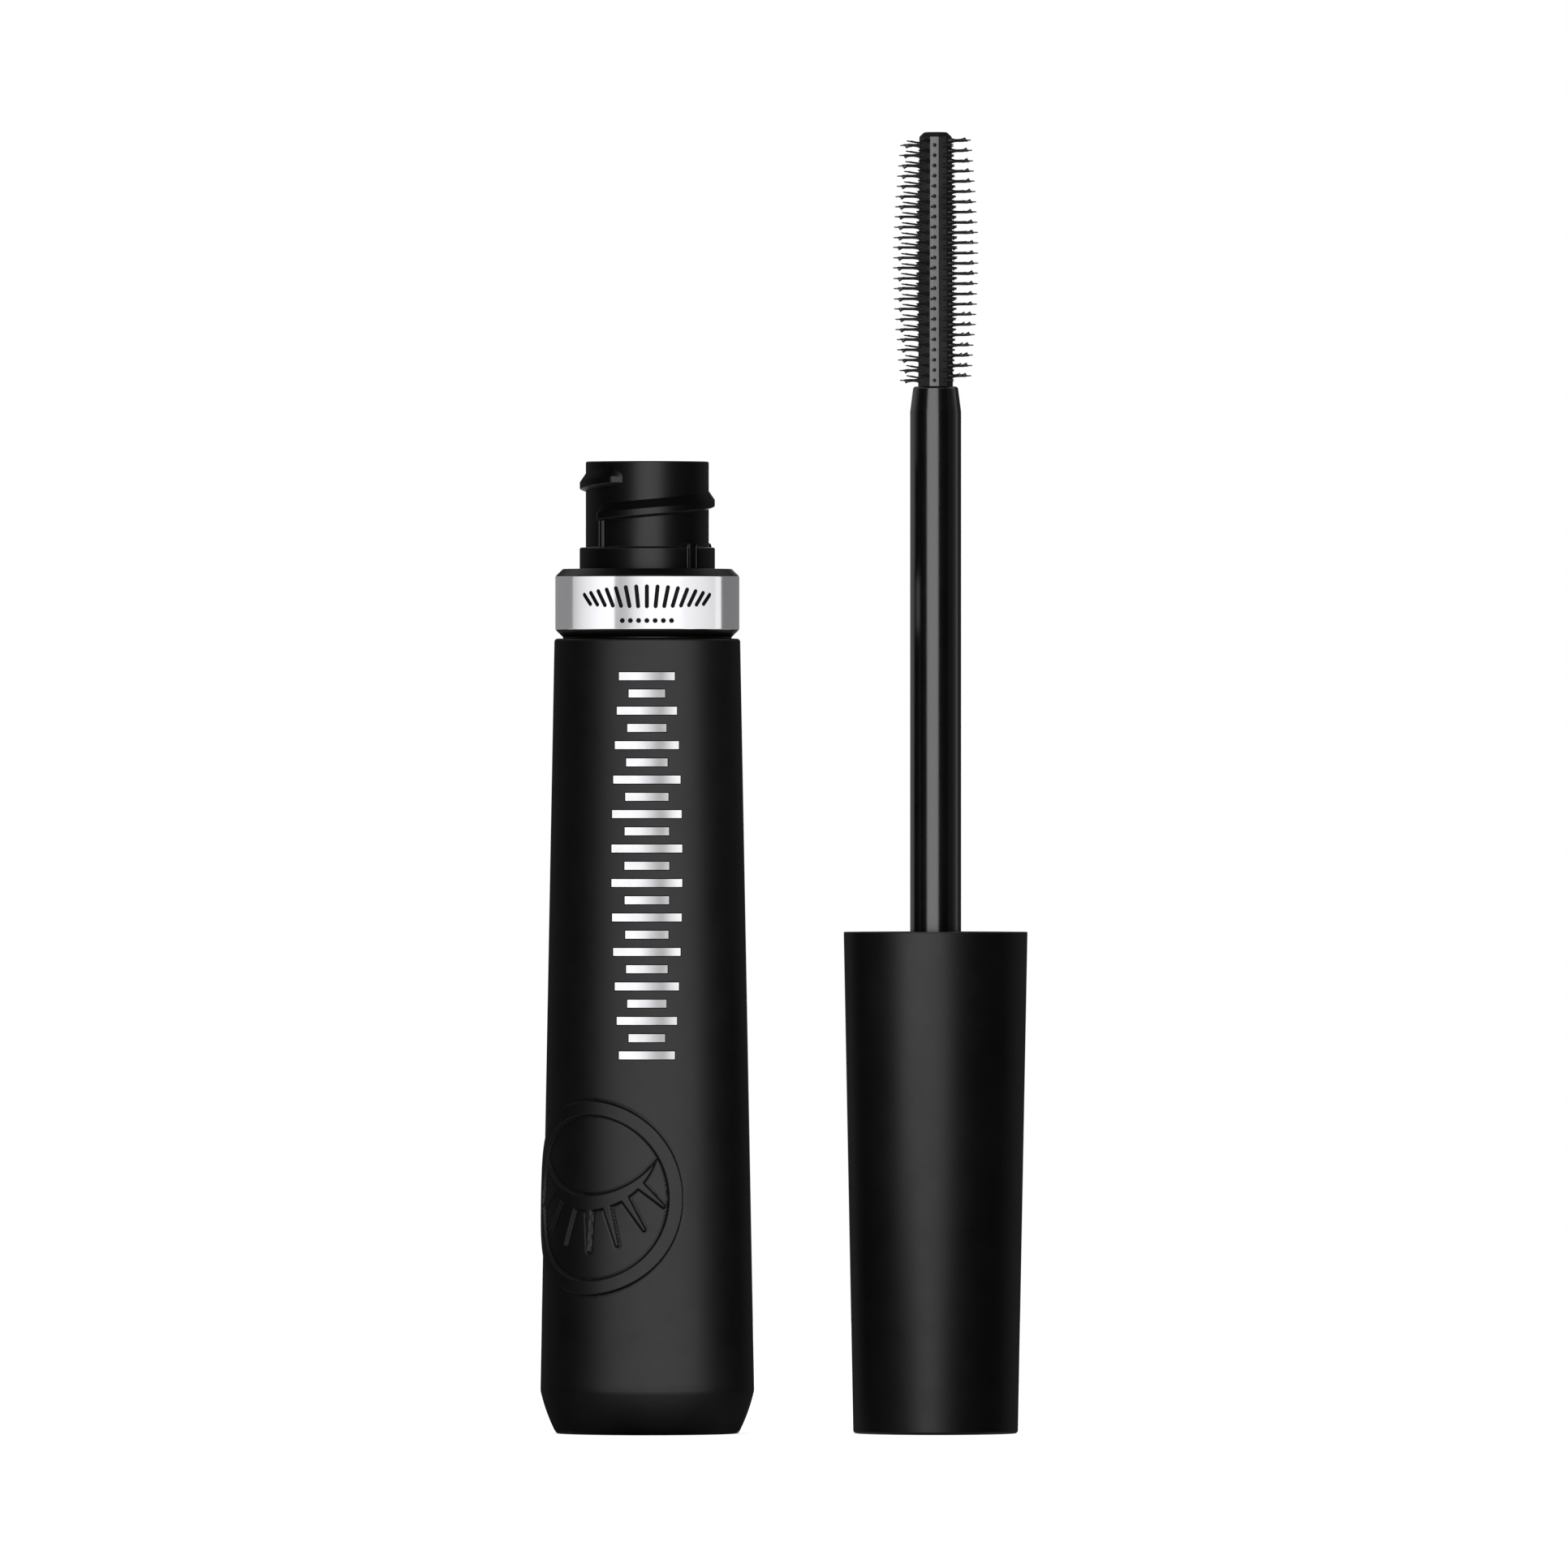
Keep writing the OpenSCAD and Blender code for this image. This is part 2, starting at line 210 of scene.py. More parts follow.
def revolve(name, outline, angles, axis_x=0.0, push=None, sharp=SHARP):
    """A turned solid. An outline that starts and ends on the axis is closed by its poles.

    push(direction, radius, height) moves each point away from the axis."""
    rings = []
    for r, z in outline:
        if r < ON_AXIS:
            rings.append([(axis_x, 0.0, z)])
        else:
            rings.append([at(a, r + (push(a, r, z) if push else 0.0), z, axis_x)
                          for a in angles])
    poles = len(rings[0]) == 1 and len(rings[-1]) == 1
    points, faces = skin(rings, loop=not poles)
    return finish_mesh(name, points, faces, sharp)


def join(name, parts, sharp=SHARP):
    """One object from several lists of points and faces."""
    points, faces = [], []
    for more_points, more_faces in parts:
        base = len(points)
        points.extend(more_points)
        faces.extend(tuple(base + v for v in face) for face in more_faces)
    return finish_mesh(name, points, faces, sharp)


def helix(profile, pitch, first, turn, z0, ramp, root, axis_x=0.0, fade=0.0):
    """A ridge wound round the axis, from the direction first on; turns are in degrees.

    The profile's points are (radius, height). Those on the ridge's side of the root radius grow
    out of it over the ramp at each end, and the upper ones are lowered there by the fade."""
    side = profile[1][0] - root
    count = int(turn / HELIX_STEP)
    rings = []
    for i in range(count + 1):
        a = turn * i / count
        grow = min(1.0, a / ramp, (turn - a) / ramp)
        ring = []
        for r, z in profile:
            out = root + (r - root) * grow if (r - root) * side > 0 else r
            up = z * (1 - fade * (1 - grow)) if z > 0 else z
            ring.append(at(math.radians(first + a), out, z0 + up + pitch * a / 360, axis_x))
        rings.append(ring)
    return skin(rings, caps=True)


def smooth_step(x):
    """0 below 0, 1 above 1, and a smooth rise between."""
    x = min(1.0, max(0.0, x))
    return x * x * (3 - 2 * x)


def side_gap(turn, other):
    """The signed angle from one direction to another, under half a turn."""
    return (turn - other + math.pi) % TAU - math.pi


# ---- materials ---------------------------------------------------------------------------

CLOUD_SPAN = (0.35, 0.68)       # the part of the noise that the two tones span
PATCH_SPAN = (0.3, 0.7)         # the part of the noise that the two roughnesses span
PATCH_SCALE = 3.1               # scale of the uneven roughness, as a multiple of the clouds'
COOL = 1.03                     # blue over red and green in every grey


def noise(tree, place, scale, detail, roughness=0.5):
    """A noise texture in the piece's own coordinates."""
    texture = tree.nodes.new("ShaderNodeTexNoise")
    texture.inputs["Scale"].default_value = scale
    texture.inputs["Detail"].default_value = detail
    texture.inputs["Roughness"].default_value = roughness
    tree.links.new(place.outputs["Object"], texture.inputs["Vector"])
    return texture.outputs["Fac"]


def map_range(tree, value, source, target):
    """A value taken from one span to another and held at the ends."""
    node = tree.nodes.new("ShaderNodeMapRange")
    node.inputs["From Min"].default_value, node.inputs["From Max"].default_value = source
    node.inputs["To Min"].default_value, node.inputs["To Max"].default_value = target
    tree.links.new(value, node.inputs["Value"])
    return node.outputs["Result"]


def surface(name, tones, rough, cloud=120.0, grain=2600.0, grain_depth=0.0012, **sockets):
    """A Principled material with a clouded colour, an uneven roughness and a fine moulded grain.

    Other sockets are set by their names, with _ for a space."""
    mat = bpy.data.materials.new(name)
    mat.use_nodes = True
    tree = mat.node_tree
    shader = tree.nodes["Principled BSDF"]
    place = tree.nodes.new("ShaderNodeTexCoord")

    ramp = tree.nodes.new("ShaderNodeValToRGB")
    for element, position, tone in zip(ramp.color_ramp.elements, CLOUD_SPAN, tones):
        element.position = position
        element.color = (*tone, 1.0)
    tree.links.new(noise(tree, place, cloud, 5.0), ramp.inputs["Fac"])
    tree.links.new(ramp.outputs["Color"], shader.inputs["Base Color"])

    patches = noise(tree, place, cloud * PATCH_SCALE, 6.0, 0.65)
    tree.links.new(map_range(tree, patches, PATCH_SPAN, rough), shader.inputs["Roughness"])

    bump = tree.nodes.new("ShaderNodeBump")
    bump.inputs["Strength"].default_value = 1.0
    bump.inputs["Distance"].default_value = grain_depth * MM
    tree.links.new(noise(tree, place, grain, 3.0), bump.inputs["Height"])
    tree.links.new(bump.outputs["Normal"], shader.inputs["Normal"])

    for socket, value in sockets.items():
        shader.inputs[socket.replace("_", " ")].default_value = value
    return mat


def dull_foot(mat, top, share):
    """Makes a material less shiny from a height down to the table, to a share of its shine."""
    tree = mat.node_tree
    shine = tree.nodes["Principled BSDF"].inputs["Specular IOR Level"]
    level = shine.default_value
    place = tree.nodes.new("ShaderNodeTexCoord")
    split = tree.nodes.new("ShaderNodeSeparateXYZ")
    tree.links.new(place.outputs["Object"], split.inputs["Vector"])
    faded = map_range(tree, split.outputs["Z"], (0.0, top * MM), (level * share, level))
    tree.links.new(faded, shine)


def grey(level):
    """A slightly cool grey."""
    return (level, level, level * COOL)


satin_case = surface("satin_case", (grey(0.0006), grey(0.0014)), (0.41, 0.47),
                     Specular_IOR_Level=0.20)
satin_cap = surface("satin_cap", (grey(0.0006), grey(0.0014)), (0.40, 0.46),
                    Specular_IOR_Level=0.20)
neck_plastic = surface("neck_plastic", (grey(0.0012), grey(0.0024)), (0.35, 0.40),
                       grain_depth=0.0008)
stem_plastic = surface("stem_plastic", (grey(0.0012), grey(0.0024)), (0.17, 0.21),
                       grain_depth=0.0004)
brush_plastic = surface("brush_plastic", (grey(0.0090), grey(0.0160)), (0.27, 0.33), cloud=400.0)
soft_wiper = surface("soft_wiper", (grey(0.0080), grey(0.0130)), (0.38, 0.46))
seal_rubber = surface("seal_rubber", (grey(0.50), grey(0.60)), (0.55, 0.65))
paste = surface("paste", (grey(0.0020), grey(0.0045)), (0.10, 0.22), cloud=300.0, grain=700.0,
                grain_depth=0.06)
label_foil = surface("label_foil", (grey(0.60), grey(0.68)), (0.34, 0.42))
band_metal = surface("band_metal", (grey(0.80), grey(0.86)), (0.10, 0.13), grain=1400.0,
                     grain_depth=0.0002, Metallic=1.0)
foil = surface("foil", (grey(0.82), grey(0.92)), (0.20, 0.26), cloud=500.0, grain=1800.0,
               grain_depth=0.0006, Metallic=1.0)
# near-black: the band's real print, and painted shade in the rims round the foil bars
ink_and_edge_shade = surface("ink_and_edge_shade", (grey(0.0015), grey(0.0030)), (0.50, 0.60), cloud=700.0,
              Specular_IOR_Level=0.04)

lit = {}        # the pieces of each group of lights


def dress(piece, mat, body, slot, lights, *nodes):
    """Gives a piece its material, body and group of lights, and hides the CAD nodes it stands
    for. The slot is not used.
    """
    lit.setdefault(lights, []).append(piece)
    piece.data.materials.clear()
    piece.data.materials.append(mat)
    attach(piece, body)
    if nodes:
        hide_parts(*nodes)


def repaint(node, mat, lights):
    """Gives a carried-over CAD node its material and its group of lights."""
    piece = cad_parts[node]
    lit.setdefault(lights, []).append(piece)
    piece.data.materials.clear()
    piece.data.materials.append(mat)


# ---- camera ------------------------------------------------------------------------------

VIEW_W = 161.0          # width of the picture at the object
VIEW_AWAY = 2900.0
VIEW_DROP = 0.13        # from the object's middle down to the picture's
SENSOR = 36.0


def make_camera():
    data = bpy.data.cameras.new("camera")
    data.sensor_width = SENSOR
    data.lens = SENSOR * VIEW_AWAY / VIEW_W
    data.clip_start = 0.05
    data.clip_end = 50.0
    data.dof.use_dof = False
    camera = bpy.data.objects.new("camera", data)
    middle = (cad_low + cad_high) / 2
    camera.location = (middle.x, middle.y - VIEW_AWAY * MM, middle.z - VIEW_DROP * MM)
    camera.rotation_euler = (math.pi / 2, 0, 0)
    bpy.context.scene.collection.objects.link(camera)
    bpy.context.scene.camera = camera


# ---- outer case --------------------------------------------------------------------------

FOOT_R = 9.37
FOOT_H = 4.42
FOOT_ARC_R = 17.3
FOOT_DULL = 0.1         # share of the shine that is left at the table
CASE_TOP_R = 9.54
CASE_EDGE_R = 0.33

MEDAL_R = 9.95
MEDAL_Z = 24.3
MEDAL_TURN = math.radians(-33.7)
MEDAL_RELIEF = 0.33
MEDAL_RIM = 1.5
MEDAL_SLOPE_W = 0.22    # width of the slope at every outline
MEDAL_GROOVE = 0.06     # depth of the fine groove along every outline
GROOVE_OUT = 0.14
GROOVE_W = 0.09
MEDAL_MARGIN = 0.5      # how far the fine grid runs past the medallion
MEDAL_STEP = 0.08       # step of the fine grid
COARSE_COUNT = 110      # columns round the rest of the case

LID_R = 7.6
LID_T = 1.6
LID_Y = 6.3
LID_FLAT = 1.4
LASHES = 7
LASH_FAN = 48           # degrees from the middle lash to the last one
LASH_LEN = 4.1
LASH_SHORTER = 1.0      # how much shorter the last lash is
LASH_HALF = 0.42
LASH_TAPER = 0.26
LASH_ROOT = 0.3         # how far a lash runs into the lid


def case_r(z):
    """Radius of the case's long taper at a height."""
    return BELLY_R + (CASE_TOP_R - BELLY_R) * (z - FOOT_H) / (CASE_H - FOOT_H)


def foot_arc(count):
    """The curved foot, from the standing ring up to the belly."""
    p, q = Vector((FOOT_R, 0.0)), Vector((BELLY_R, FOOT_H))
    half = (q - p).length / 2
    along = (q - p).normalized()
    centre = (p + q) / 2 + Vector((-along.y, along.x)) * math.sqrt(FOOT_ARC_R ** 2 - half ** 2)
    a0 = math.atan2(p.y - centre.y, p.x - centre.x)
    a1 = math.atan2(q.y - centre.y, q.x - centre.x)
    angles = [a0 + (a1 - a0) * k / count for k in range(count + 1)]
    return [centre + FOOT_ARC_R * Vector((math.cos(a), math.sin(a))) for a in angles]


def lid_depth(u, v):
    """How far inside the closed lid's crescent a point of the medallion is, under 0 outside."""
    lower = LID_R - math.hypot(u, v - LID_Y)
    upper = math.hypot(u, v - LID_Y - LID_FLAT - LID_T) - LID_R - LID_FLAT
    return min(lower, upper)


def lash_depth(u, v, lean, length):
    """How far inside a tapering lash under the lid a point of the medallion is."""
    v -= LID_Y
    along = u * math.sin(lean) - v * math.cos(lean) - LID_R
    across = abs(u * math.cos(lean) + v * math.sin(lean))
    t = min(1.0, max(0.0, along / length))
    past = max(0.0, -LASH_ROOT - along, along - length)
    return LASH_HALF - LASH_TAPER * t - math.hypot(across, past)


def relief(turn, r, z):
    """Height of the medallion over the case: a rim, a closed lid and a fan of lashes."""
    u = side_gap(turn, MEDAL_TURN) * case_r(MEDAL_Z)
    v = z - MEDAL_Z
    away = math.hypot(u, v)
    on_bore = r < PLUG_R + 0.1
    if away > MEDAL_R + 0.4 or on_bore:
        return 0.0
    rim = min(MEDAL_R - away, away - (MEDAL_R - MEDAL_RIM))
    inside = max(rim, lid_depth(u, v))
    for k in range(LASHES):
        t = 2 * k / (LASHES - 1) - 1
        length = LASH_LEN - LASH_SHORTER * t * t
        inside = max(inside, lash_depth(u, v, math.radians(LASH_FAN * t), length))
    groove = MEDAL_GROOVE * math.exp(-((inside + GROOVE_OUT) / GROOVE_W) ** 2)
    return MEDAL_RELIEF * smooth_step(inside / MEDAL_SLOPE_W + 0.5) - groove


def case_angles():
    """Directions round the case, close together across the medallion."""
    half = (MEDAL_R + MEDAL_MARGIN) / case_r(MEDAL_Z)
    count = int(2 * half * case_r(MEDAL_Z) / MEDAL_STEP)
    fine = [MEDAL_TURN - half + 2 * half * k / count for k in range(count)]
    rest = TAU - 2 * half
    return fine + [MEDAL_TURN + half + rest * k / COARSE_COUNT for k in range(COARSE_COUNT)]


def make_case():
    # from the bore, over the standing ring, to the curved foot
    outline = [(PLUG_R, 1.0), (PLUG_R, 0.25), (PLUG_R + 0.1, 0.05), (PLUG_R + 0.25, 0.0),
               (FOOT_R - 0.16, 0.0), (FOOT_R - 0.05, 0.03)]
    outline += foot_arc(14)[1:-1]
    # the belly's edge, and the long taper with close rows across the medallion
    outline += [(BELLY_R - 0.018, FOOT_H - 0.1), (BELLY_R, FOOT_H + 0.1)]
    rows = int(2 * (MEDAL_R + MEDAL_MARGIN) / MEDAL_STEP)
    medal_low = MEDAL_Z - MEDAL_R - MEDAL_MARGIN
    heights = [FOOT_H + 0.35, 9]
    heights += [medal_low + 2 * (MEDAL_R + MEDAL_MARGIN) * k / rows for k in range(rows + 1)]
    heights += range(42, 81, 6)
    outline += [(case_r(z), z) for z in heights]
    # over the top edge and down the bore
    below = CASE_H - 2
    outline += rounded([(case_r(below), below, 0), (CASE_TOP_R, CASE_H, CASE_EDGE_R),
                        (PLUG_R, CASE_H, 0.15), (PLUG_R, below, 0)])
    outline += [(PLUG_R, z) for z in range(70, 5, -16)]
    piece = revolve("outer_case", outline, case_angles(), push=relief, sharp=50)
    dull_foot(satin_case, FOOT_H + 0.9, FOOT_DULL)
    dress(piece, satin_case, "tube", "satin_case", "case", "outer_case")


# ---- decoration --------------------------------------------------------------------------

BARS = 23
BARS_LOW = 38.9
BARS_HIGH = 77.7
LONG_BAR = 3.7          # half width of every other bar
SHORT_BAR = 2.3
BAR_WAIST = 0.22        # share by which the bars at both ends are narrower
BAR_HALF = 0.40
BAR_EDGE = 0.09         # how far the painted shade edge shows round a bar
BAR_STEPS = 22
BAR_LIFT = 0.020
EDGE_LIFT = 0.008
BAR_SINK = -0.05

STROKES = 15
STROKE_SPAN = 6.1       # from the middle stroke to the last one
STROKE_LEAN = 0.70      # how far the last one leans, in radians
STROKE_LEN = 2.5
STROKE_HALF = 0.21
DOTS = 7
DOT_PITCH = 0.85
DOT_LEN = 0.26          # half of it
DOT_HALF = 0.25
DOT_DROP = 1.85
PRINT_STEPS = 20
PRINT_LIFT = 0.010
PRINT_SINK = -0.02


def bar(half_w, z, grow, lift):
    """A flat bar wrapped round the front of the case, grown by an edge all round."""
    left, right = -half_w - grow, half_w + grow
    half_h = BAR_HALF + grow
    section = ((-1, BAR_SINK), (-1, 0.6 * lift), (-0.9, lift),
               (0.9, lift), (1, 0.6 * lift), (1, BAR_SINK))
    rings = []
    for i in range(BAR_STEPS + 1):
        u = left + (right - left) * (i / BAR_STEPS)
        ring = []
        for side, out in section:
            r = case_r(z + side * half_h)
            ring.append(at(u / r, r + out, z + side * half_h))
        rings.append(ring)
    return skin(rings, caps=True)


def make_foil():
    """Bars of silver foil up the front of the case, long and short by turns, each in a dark rim
    of painted shade.
    """
    bars = []
    for k in range(BARS):
        t = k / (BARS - 1)
        longest = LONG_BAR if k % 2 == 0 else SHORT_BAR
        half_w = longest * (1 - BAR_WAIST + BAR_WAIST * math.sin(math.pi * t))
        bars.append((half_w, BARS_LOW + (BARS_HIGH - BARS_LOW) * t))
    shiny = [bar(*spot, 0.0, BAR_LIFT) for spot in bars]
    edges = [bar(*spot, BAR_EDGE, EDGE_LIFT) for spot in bars]
    dress(join("foil_bars", shiny), foil, "tube", "band_metal", "foil")
    # the dark rim round each bar is painted shade along its raised edge
    dress(join("foil_edge_shade", edges), ink_and_edge_shade, "tube", "satin_case", "case")


def band_stroke(p, q, half):
    """A straight printed stroke on the band, from p to q, with round ends."""
    p, q = Vector(p), Vector(q)
    along = (q - p).normalized()
    across = Vector((-along.y, along.x))
    rings = []
    for i in range(PRINT_STEPS + 1):
        t = i / PRINT_STEPS
        end = min(1.0, min(t, 1 - t) * (q - p).length / half)
        w = half * math.sqrt(max(0.002, 1 - (1 - end) ** 2))
        mid = p + (q - p) * t
        ring = []
        for side, out in ((-1, PRINT_SINK), (-1, PRINT_LIFT), (1, PRINT_LIFT), (1, PRINT_SINK)):
            spot = mid + across * (side * w)
            ring.append(at(spot.x / BAND_R, BAND_R + out, spot.y))
        rings.append(ring)
    return skin(rings, caps=True)


def make_band_print():
    """A fan of strokes printed on the band, over a row of dots."""
    parts = []
    middle = (BAND_Z + BAND_TOP) / 2
    for k in range(STROKES):
        s = 2 * k / (STROKES - 1) - 1
        lean = STROKE_LEAN * s
        foot = Vector((STROKE_SPAN * s, middle - 0.62 + 0.30 * s * s))
        length = STROKE_LEN - 0.8 * s * s
        top = foot + length * Vector((math.sin(lean), math.cos(lean)))
        parts.append(band_stroke(foot, top, STROKE_HALF))
    for k in range(DOTS):
        u = DOT_PITCH * (k - (DOTS - 1) / 2)
        z = middle - DOT_DROP
        parts.append(band_stroke((u - DOT_LEN, z), (u + DOT_LEN, z), DOT_HALF))
    dress(join("band_print", parts), ink_and_edge_shade, "tube", "neck_plastic", "case")


# ---- collar ------------------------------------------------------------------------------

ROUND = even_angles(200)
BAND_T = 0.3
CARRIER_SEAT_R = BAND_R - BAND_T
COLLAR_NECK_R = 8.67
COLLAR_FOOT = 0.15
BEVEL_R = BAND_R - 0.01         # keeps the black bevels just inside the band
SKIRT_R = BOTTLE_R + 0.05
STEP_R = 6.95


def make_collar():
    foot = CASE_H + 0.02
    lower = rounded([(SKIRT_R, SKIRT_Z, 0.1), (PLUG_R, SKIRT_Z, 0.1), (PLUG_R, foot, 0.02),
                     (COLLAR_NECK_R, foot, 0.04), (COLLAR_NECK_R, CASE_H + COLLAR_FOOT, 0.05),
                     (BEVEL_R, BAND_Z, 0.04), (CARRIER_SEAT_R, BAND_Z, 0.02),
                     (CARRIER_SEAT_R, BAND_TOP, 0.02), (STEP_R, BAND_TOP, 0.02),
                     (STEP_R, CASE_H + 0.4, 0.05), (SKIRT_R, CASE_H - 0.6, 0.05)])
    dress(revolve("collar_carrier", lower, ROUND), neck_plastic, "tube", "neck_plastic", "neck",
          "collar_carrier")
    upper = rounded([(STEP_R, BAND_TOP, 0.02), (BEVEL_R, BAND_TOP, 0.04),
                     (COLLAR_NECK_R, COLLAR_TOP, 0.08), (STEP_R - 0.02, COLLAR_TOP, 0.03)])
    dress(revolve("collar_top_ring", upper, ROUND), neck_plastic, "tube", "neck_plastic", "neck",
          "collar_top_ring")
    band = rounded([(CARRIER_SEAT_R, BAND_Z, 0.02), (BAND_R, BAND_Z, 0.10),
                    (BAND_R, BAND_TOP, 0.10), (CARRIER_SEAT_R, BAND_TOP, 0.02)])
    dress(revolve("collar_band", band, even_angles(256)), band_metal, "tube", "band_metal",
          "band", "collar_band")


# ---- bottle ------------------------------------------------------------------------------

BOTTLE_WALL = 0.9
BOTTLE_FLOOR = 1.2
SEAT_R = STEP_R - 0.05          # where the bottle's shoulder passes through the collar
STEP_TOP = COLLAR_TOP + 2.2
NECK_R = 6.32
NECK_BORE_R = 5.2
MOUTH_R = NECK_R - 0.37
MOUTH_Z = NECK_TOP - 1.0

THREAD_PITCH = 3.58
THREAD_R = 6.94
THREAD_FROM = -47.0
THREAD_TURN = 385.0
THREAD_Z = COLLAR_TOP + 5.4
THREAD_HALF = 0.33              # half width of the crest
THREAD_RAMP = 11                # degrees over which the ridge grows at each end
THREAD_FADE = 0.55

LUG_TURNS = (42, 114)
LUG_W = 1.1
LUG_TOP = COLLAR_TOP + 2.7
SLOT_W = 0.3
SLOT_DEPTH = 0.28
SLOT_EDGE = 0.02                # width of a slot's sloping side
RIB_W = 0.45
BEAD_SIDES = 8


def block(turn, w, r0, r1, z0, z1, edge):
    """A small upright block on the neck, its outer edges and its top bevelled."""
    rings = []
    for z, back in ((z0, 0.0), (z1 - edge, 0.0), (z1, edge)):
        flat = 1 - 2 * edge / w
        ring = []
        for side, r in ((-1, r0), (-1, r1 - edge - back), (-flat, r1 - back),
                        (flat, r1 - back), (1, r1 - edge - back), (1, r0)):
            ring.append(at(math.radians(turn) + side * w / 2 / r1, r, z))
        rings.append(ring)
    return skin(rings, caps=True)


def bead(turn, side, r, z0, z1, half, bend=0.0):
    """A fine round line that stands up a moulded edge, at that distance from its middle.

    Its top leans over by the bend."""
    rings = []
    for z, grow, lean in ((z0, 1.0, 0.0), (z1 - 0.45, 1.0, 0.0), (z1 - 0.2, 1.0, 0.4),
                          (z1 - half, 0.9, 0.8), (z1, 0.2, 1.0)):
        ring = []
        for a in even_angles(BEAD_SIDES):
            across = side + bend * lean + half * grow * math.sin(a)
            ring.append(at(math.radians(turn) + across / r, r + half * grow * math.cos(a), z))
        rings.append(ring)
    return skin(rings, caps=True)


def slot_push(turn, r, z):
    """Sinks the slots beside the lugs into the step."""
    if r < NECK_R + 0.25 or not COLLAR_TOP - 0.01 < z < STEP_TOP + 0.01:
        return 0.0
    for lug in LUG_TURNS:
        past_lug = abs(side_gap(turn, math.radians(lug))) * STEP_R - LUG_W / 2
        if SLOT_EDGE / 2 < past_lug < SLOT_W - SLOT_EDGE / 2:
            return -SLOT_DEPTH
    return 0.0


def neck_angles():
    """Even directions, with extra ones at the edges of the slots."""
    angles = list(ROUND)
    for lug in LUG_TURNS:
        for side in (-1, 1):
            for edge in (0.0, SLOT_EDGE, SLOT_W - SLOT_EDGE, SLOT_W):
                angles.append(math.radians(lug) + side * (LUG_W / 2 + edge) / STEP_R)
    return sorted(angles)


def make_bottle():
    floor = BOTTLE_Z + BOTTLE_FLOOR
    inner_r = BOTTLE_R - BOTTLE_WALL
    shoulder = CASE_H - 1.0
    body = rounded([(0, BOTTLE_Z, 0), (BOTTLE_R, BOTTLE_Z, 1.0), (BOTTLE_R, shoulder, 0.3),
                    (SEAT_R, CASE_H + 0.2, 0.2), (SEAT_R, COLLAR_TOP - 0.05, 0),
                    (STEP_R, COLLAR_TOP, 0), (STEP_R, STEP_TOP, 0.20), (NECK_R, STEP_TOP, 0.12),
                    (NECK_R, NECK_TOP, 0.16), (MOUTH_R, NECK_TOP, 0.06), (MOUTH_R, MOUTH_Z, 0.03),
                    (NECK_BORE_R, MOUTH_Z, 0.1), (NECK_BORE_R, CASE_H + 1.6, 0.2),
                    (inner_r, shoulder - 0.6, 0.4), (inner_r, floor, 0.8), (0, floor, 0)])
    piece = revolve("bottle", body, neck_angles(), push=slot_push)
    dress(piece, neck_plastic, "tube", "neck_plastic", "neck", "bottle")


def make_neck_details():
    """The thread, its rib and the two ratchet lugs, and the fine lines up their edges."""
    ridge = rounded([(NECK_R - 0.3, -0.70, 0), (NECK_R - 0.02, -0.585, 0.10),
                     (THREAD_R, -THREAD_HALF, 0.13), (THREAD_R, THREAD_HALF, 0.16),
                     (NECK_R - 0.02, 1.27, 0.2), (NECK_R - 0.3, 1.40, 0)])
    parts = [helix(ridge, THREAD_PITCH, THREAD_FROM - THREAD_RAMP, THREAD_TURN + THREAD_RAMP,
                   THREAD_Z - THREAD_PITCH * THREAD_RAMP / 360, THREAD_RAMP, NECK_R - 0.1,
                   fade=THREAD_FADE)]
    parts.append(block(THREAD_FROM, RIB_W, NECK_R - 0.2, NECK_R + 0.2, STEP_TOP - 0.1,
                       THREAD_Z - 0.3, 0.08))
    beads = []
    for side in (-0.22, 0.40):
        beads.append(bead(THREAD_FROM, side, NECK_R + 0.17, STEP_TOP, THREAD_Z - 0.25, 0.085))
    for turn in LUG_TURNS:
        parts.append(block(turn, LUG_W, NECK_R - 0.2, STEP_R + 0.03, COLLAR_TOP, LUG_TOP, 0.2))
        for side in (-0.62, 0.56):
            beads.append(bead(turn, side, STEP_R - 0.07, COLLAR_TOP + 0.05, LUG_TOP - 0.05,
                              0.095, 0.3))
    dress(join("neck_thread", parts), neck_plastic, "tube", "neck_plastic", "thread")
    dress(join("neck_edges", beads), neck_plastic, "tube", "neck_plastic", "edges")


# ---- wiper -------------------------------------------------------------------------------

LIP_R = 2.525
FUNNEL_R = 4.4
FUNNEL_RIM_R = 5.0
FLANGE_T = 0.8


def make_wiper():
    body_r = NECK_BORE_R - 0.01
    under = WIPER_TOP - FLANGE_T
    outline = rounded([(WIPER_R, under, 0.05), (WIPER_R, WIPER_TOP, 0.12),
                       (FUNNEL_RIM_R, WIPER_TOP, 0.2), (FUNNEL_R, WIPER_TOP - 1.4, 0.4),
                       (FUNNEL_R, WIPER_TOP - 6.8, 0.6), (LIP_R, WIPER_Z + 0.8, 0.25),
                       (LIP_R, WIPER_Z, 0.15), (LIP_R + 0.5, WIPER_Z, 0.15),
                       (body_r, WIPER_Z + 4.0, 0.4), (body_r, under, 0.05)])
    dress(revolve("wiper", outline, ROUND), soft_wiper, "tube", "soft_wiper", "neck", "wiper")


# ---- cap, liner, gasket and stem ---------------------------------------------------------

CAP_END_R = 8.46
CAP_WALL = 1.15
CAP_FLOOR = 1.5
LINER_R = 7.9
LINER_BORE_R = 7.05
LINER_FLANGE_T = 0.9
LINER_FLOOR = SEAL_Z - 0.05
LINER_THREAD_R = 6.45
LINER_THREAD_TURN = 330
SEAL_BORE_GAP = 0.08
STEM_R = 2.625
STEM_END_R = 2.29
STEM_FLANGE_T = 1.5
STEM_TAPER = 2.6
SOCKET_R = 1.2
SOCKET_H = 8
PEG_H = 7.8


